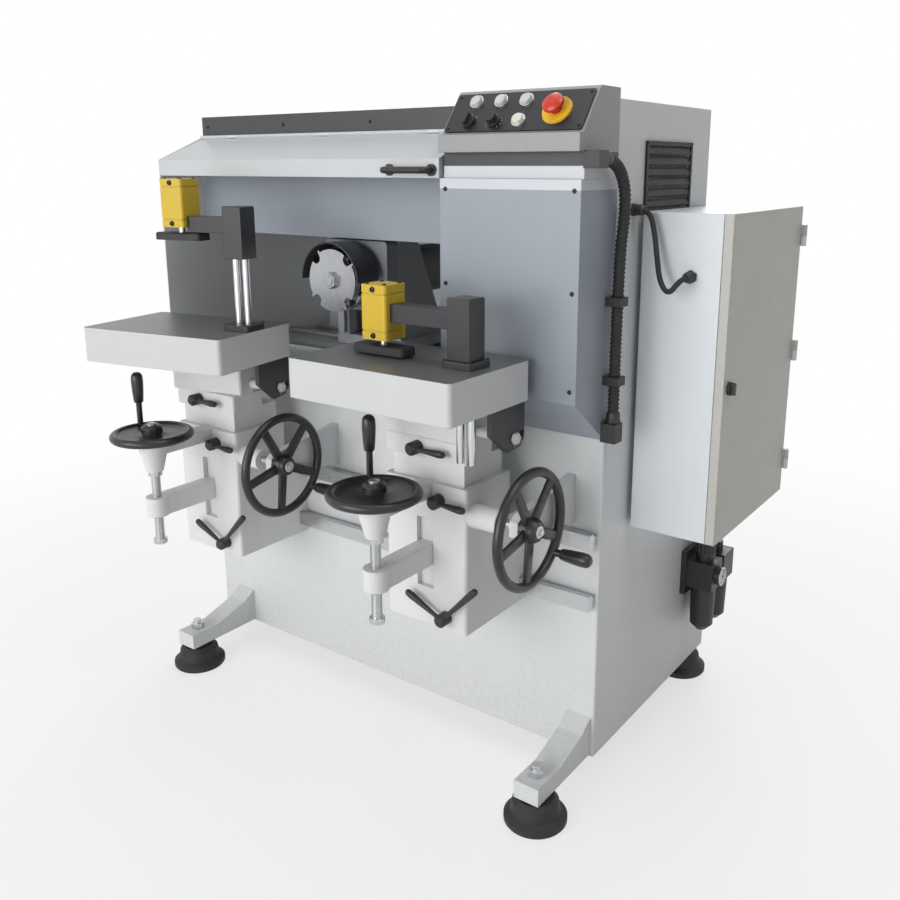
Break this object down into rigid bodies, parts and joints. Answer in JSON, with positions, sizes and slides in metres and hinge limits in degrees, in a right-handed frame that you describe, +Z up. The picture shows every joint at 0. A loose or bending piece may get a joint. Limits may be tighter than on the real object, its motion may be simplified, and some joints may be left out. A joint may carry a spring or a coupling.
{
  "type": "double-table tenoning machine",
  "caption": "Floor-standing tenoner: tilting clamp tables on lifting knees, cutter carriage under a hinged hood, tilted console and side electric cabinet.",
  "frame": {"origin": "on the floor under the middle of the machine's overall box", "axes": "+Z up, -Y towards the operator in front of the tables, +X to the operator's right"},
  "size_m": [1.45, 1.126, 1.495],
  "materials": {
    "body_paint": "light grey satin paint on sheet steel",
    "panel_paint": "blue-grey satin paint",
    "dark_paint": "dark grey satin paint",
    "black_paint": "black satin paint",
    "table_paint": "light grey satin paint on iron castings",
    "black_plastic": "black satin plastic",
    "rubber": "black rubber",
    "bright_steel": "ground steel",
    "cast_grey": "grey painted casting",
    "clamp_yellow": "yellow coated aluminium",
    "button_light": "light gloss plastic",
    "signal_red": "red gloss plastic"
  },
  "bodies": {
    "frame": {"base_frame": "body_paint", "rear_panel": "body_paint", "rear_housing": "body_paint", "front_cover": "panel_paint", "top_strip": "dark_paint", "console_body": "body_paint", "console_face": "black_plastic", "vent_grille": "black_plastic", "electric_cabinet": "body_paint", "conduit": "rubber", "cabinet_cable": "rubber", "leveling_feet": "rubber", "guide_rails": "bright_steel", "drive_motor": "dark_paint", "air_unit": "black_plastic"},
    "hood": {"top_hood": "body_paint", "hood_handle": "black_plastic"},
    "carriage": {"carriage": "cast_grey"},
    "feed_screw": {"carriage_screw": "bright_steel"},
    "head": {"spindle_head": "cast_grey", "cutter_guard": "dark_paint"},
    "spindle": {"spindle_shaft": "bright_steel", "cutter_set": "bright_steel"},
    "door": {"cabinet_door": "body_paint"},
    "lock": {"cabinet_lock": "black_plastic"},
    "button_1": {"button_1": "button_light"},
    "button_2": {"button_2": "button_light"},
    "button_3": {"button_3": "button_light"},
    "selector": {"selector_switch": "black_plastic"},
    "dial": {"feed_dial": "black_plastic"},
    "estop": {"emergency_stop": "signal_red"},
    "regulator": {"regulator_knob": "black_plastic"},
    "saddle_left": {"saddle_left": "table_paint"},
    "knee_left": {"knee_left": "table_paint"},
    "swivel_left": {"swivel_head_left": "table_paint"},
    "table_left": {"table_left": "table_paint", "clamp_post_left": "black_paint"},
    "lift_wheel_left": {"lift_wheel_left": "black_plastic", "lift_screw_left": "bright_steel"},
    "cross_wheel_left": {"cross_wheel_left": "black_plastic"},
    "swivel_lever_left": {"swivel_lever_left": "black_plastic"},
    "knee_lever_left": {"knee_lever_left": "black_plastic"},
    "saddle_lever_left": {"saddle_lever_left": "black_plastic"},
    "clamp_arm_left": {"clamp_arm_left": "black_paint", "clamp_cylinder_left": "clamp_yellow"},
    "clamp_foot_left": {"clamp_foot_left": "black_paint"},
    "saddle_right": {"saddle_right": "table_paint"},
    "knee_right": {"knee_right": "table_paint"},
    "swivel_right": {"swivel_head_right": "table_paint"},
    "table_right": {"table_right": "table_paint", "clamp_post_right": "black_paint"},
    "lift_wheel_right": {"lift_wheel_right": "black_plastic", "lift_screw_right": "bright_steel"},
    "cross_wheel_right": {"cross_wheel_right": "black_plastic"},
    "swivel_lever_right": {"swivel_lever_right": "black_plastic"},
    "knee_lever_right": {"knee_lever_right": "black_plastic"},
    "saddle_lever_right": {"saddle_lever_right": "black_plastic"},
    "clamp_arm_right": {"clamp_arm_right": "black_paint", "clamp_cylinder_right": "clamp_yellow"},
    "clamp_foot_right": {"clamp_foot_right": "black_paint"}
  },
  "joints": [
    {"name": "hood_hinge", "type": "hinge", "parent": "frame", "child": "hood", "pos_m": [0, -0.067, 1.424], "axis": [-1, 0, 0], "range_deg": [0, 70]},
    {"name": "carriage_slide", "type": "slide", "parent": "frame", "child": "carriage", "axis": [1, 0, 0], "range_m": [-0.36, 0.49]},
    {"name": "feed_screw_turn", "type": "hinge", "parent": "frame", "child": "feed_screw", "pos_m": [0, 0.195, 0.872], "axis": [1, 0, 0], "range_deg": [-3241, 4411]},
    {"name": "head_slide", "type": "slide", "parent": "carriage", "child": "head", "axis": [0, 0, 1], "range_m": [-0.08, 0]},
    {"name": "spindle_turn", "type": "hinge", "parent": "head", "child": "spindle", "pos_m": [-0.2, 0, 1.085], "axis": [0, 1, 0], "continuous": true},
    {"name": "door_hinge", "type": "hinge", "parent": "frame", "child": "door", "pos_m": [0.716, 0.481, 0.91], "axis": [0, 0, 1], "range_deg": [0, 110]},
    {"name": "lock_turn", "type": "hinge", "parent": "door", "child": "lock", "pos_m": [0.71, 0.066, 0.91], "axis": [1, 0, 0], "range_deg": [0, 90]},
    {"name": "selector_turn", "type": "hinge", "parent": "frame", "child": "selector", "pos_m": [0.245, -0.1874, 1.4308], "axis": [0, -0.8, 0.6], "range_deg": [-45, 45]},
    {"name": "dial_turn", "type": "hinge", "parent": "frame", "child": "dial", "pos_m": [0.303, -0.1874, 1.4308], "axis": [0, -0.8, 0.6], "range_deg": [-135, 135]},
    {"name": "estop_press", "type": "slide", "parent": "frame", "child": "estop", "axis": [0, 0.8, -0.6], "range_m": [0, 0.006], "stiffness_N_per_m": 900, "springref_m": -0.004},
    {"name": "regulator_turn", "type": "hinge", "parent": "frame", "child": "regulator", "pos_m": [0.554, 0.415, 0.4], "axis": [0, 0, 1], "range_deg": [-720, 720]},
    {"name": "button_1_press", "type": "slide", "parent": "frame", "child": "button_1", "axis": [0, 0.8, -0.6], "range_m": [0, 0.004], "stiffness_N_per_m": 600, "springref_m": -0.003},
    {"name": "button_2_press", "type": "slide", "parent": "frame", "child": "button_2", "axis": [0, 0.8, -0.6], "range_m": [0, 0.004], "stiffness_N_per_m": 600, "springref_m": -0.003},
    {"name": "button_3_press", "type": "slide", "parent": "frame", "child": "button_3", "axis": [0, 0.8, -0.6], "range_m": [0, 0.004], "stiffness_N_per_m": 600, "springref_m": -0.003},
    {"name": "cross_wheel_left_turn", "type": "hinge", "parent": "frame", "child": "cross_wheel_left", "pos_m": [-0.23, -0.285, 0.66], "axis": [1, 0, 0], "range_deg": [-1441, 1441]},
    {"name": "saddle_left_slide", "type": "slide", "parent": "frame", "child": "saddle_left", "axis": [1, 0, 0], "range_m": [-0.02, 0.02]},
    {"name": "lift_wheel_left_turn", "type": "hinge", "parent": "saddle_left", "child": "lift_wheel_left", "pos_m": [-0.47, -0.468, 0.738], "axis": [0, 0, 1], "range_deg": [-1081, 1081]},
    {"name": "knee_left_slide", "type": "slide", "parent": "saddle_left", "child": "knee_left", "axis": [0, 0, 1], "range_m": [-0.03, 0.03]},
    {"name": "swivel_left_turn", "type": "hinge", "parent": "knee_left", "child": "swivel_left", "pos_m": [-0.47, -0.2645, 0.84], "axis": [0, 0, 1], "range_deg": [-20.5, 4.5]},
    {"name": "table_left_tilt", "type": "hinge", "parent": "swivel_left", "child": "table_left", "pos_m": [-0.46936, -0.26794, 0.928], "axis": [-0.9833, -0.1822, 0], "range_deg": [0, 15]},
    {"name": "swivel_lever_left_turn", "type": "hinge", "parent": "knee_left", "child": "swivel_lever_left", "pos_m": [-0.486, -0.33, 0.791], "axis": [0, -1, 0], "range_deg": [-35, 10]},
    {"name": "knee_lever_left_turn", "type": "hinge", "parent": "saddle_left", "child": "knee_lever_left", "pos_m": [-0.431, -0.33, 0.686], "axis": [0, -1, 0], "range_deg": [-40, 40]},
    {"name": "saddle_lever_left_turn", "type": "hinge", "parent": "saddle_left", "child": "saddle_lever_left", "pos_m": [-0.415, -0.33, 0.43], "axis": [0, -1, 0], "range_deg": [-10, 25]},
    {"name": "clamp_arm_left_slide", "type": "slide", "parent": "table_left", "child": "clamp_arm_left", "axis": [0, 0, 1], "range_m": [-0.148, 0]},
    {"name": "clamp_foot_left_slide", "type": "slide", "parent": "clamp_arm_left", "child": "clamp_foot_left", "axis": [0, 0, 1], "range_m": [-0.0325, 0]},
    {"name": "cross_wheel_right_turn", "type": "hinge", "parent": "frame", "child": "cross_wheel_right", "pos_m": [0.46, -0.285, 0.66], "axis": [1, 0, 0], "range_deg": [-1441, 1441]},
    {"name": "saddle_right_slide", "type": "slide", "parent": "frame", "child": "saddle_right", "axis": [1, 0, 0], "range_m": [-0.02, 0.02]},
    {"name": "lift_wheel_right_turn", "type": "hinge", "parent": "saddle_right", "child": "lift_wheel_right", "pos_m": [0.22, -0.468, 0.738], "axis": [0, 0, 1], "range_deg": [-1081, 1081]},
    {"name": "knee_right_slide", "type": "slide", "parent": "saddle_right", "child": "knee_right", "axis": [0, 0, 1], "range_m": [-0.03, 0.03]},
    {"name": "swivel_right_turn", "type": "hinge", "parent": "knee_right", "child": "swivel_right", "pos_m": [0.22, -0.2645, 0.84], "axis": [0, 0, 1], "range_deg": [-10, 2.5]},
    {"name": "table_right_tilt", "type": "hinge", "parent": "swivel_right", "child": "table_right", "pos_m": [0.22, -0.268, 0.928], "axis": [-1, 0, 0], "range_deg": [0, 15]},
    {"name": "swivel_lever_right_turn", "type": "hinge", "parent": "knee_right", "child": "swivel_lever_right", "pos_m": [0.204, -0.33, 0.791], "axis": [0, -1, 0], "range_deg": [-35, 10]},
    {"name": "knee_lever_right_turn", "type": "hinge", "parent": "saddle_right", "child": "knee_lever_right", "pos_m": [0.259, -0.33, 0.686], "axis": [0, -1, 0], "range_deg": [-40, 40]},
    {"name": "saddle_lever_right_turn", "type": "hinge", "parent": "saddle_right", "child": "saddle_lever_right", "pos_m": [0.275, -0.33, 0.43], "axis": [0, -1, 0], "range_deg": [-10, 25]},
    {"name": "clamp_arm_right_slide", "type": "slide", "parent": "table_right", "child": "clamp_arm_right", "axis": [0, 0, 1], "range_m": [0, 0.148]},
    {"name": "clamp_foot_right_slide", "type": "slide", "parent": "clamp_arm_right", "child": "clamp_foot_right", "axis": [0, 0, 1], "range_m": [-0.0036, 0.0125]}
  ],
  "couplings": [
    {"joint": "feed_screw_turn", "follows": "carriage_slide", "rad_per_m": 157.08},
    {"joint": "cross_wheel_left_turn", "follows": "saddle_left_slide", "rad_per_m": 1256.6},
    {"joint": "lift_wheel_left_turn", "follows": "knee_left_slide", "rad_per_m": 628.32},
    {"joint": "cross_wheel_right_turn", "follows": "saddle_right_slide", "rad_per_m": 1256.6},
    {"joint": "lift_wheel_right_turn", "follows": "knee_right_slide", "rad_per_m": 628.32}
  ]
}
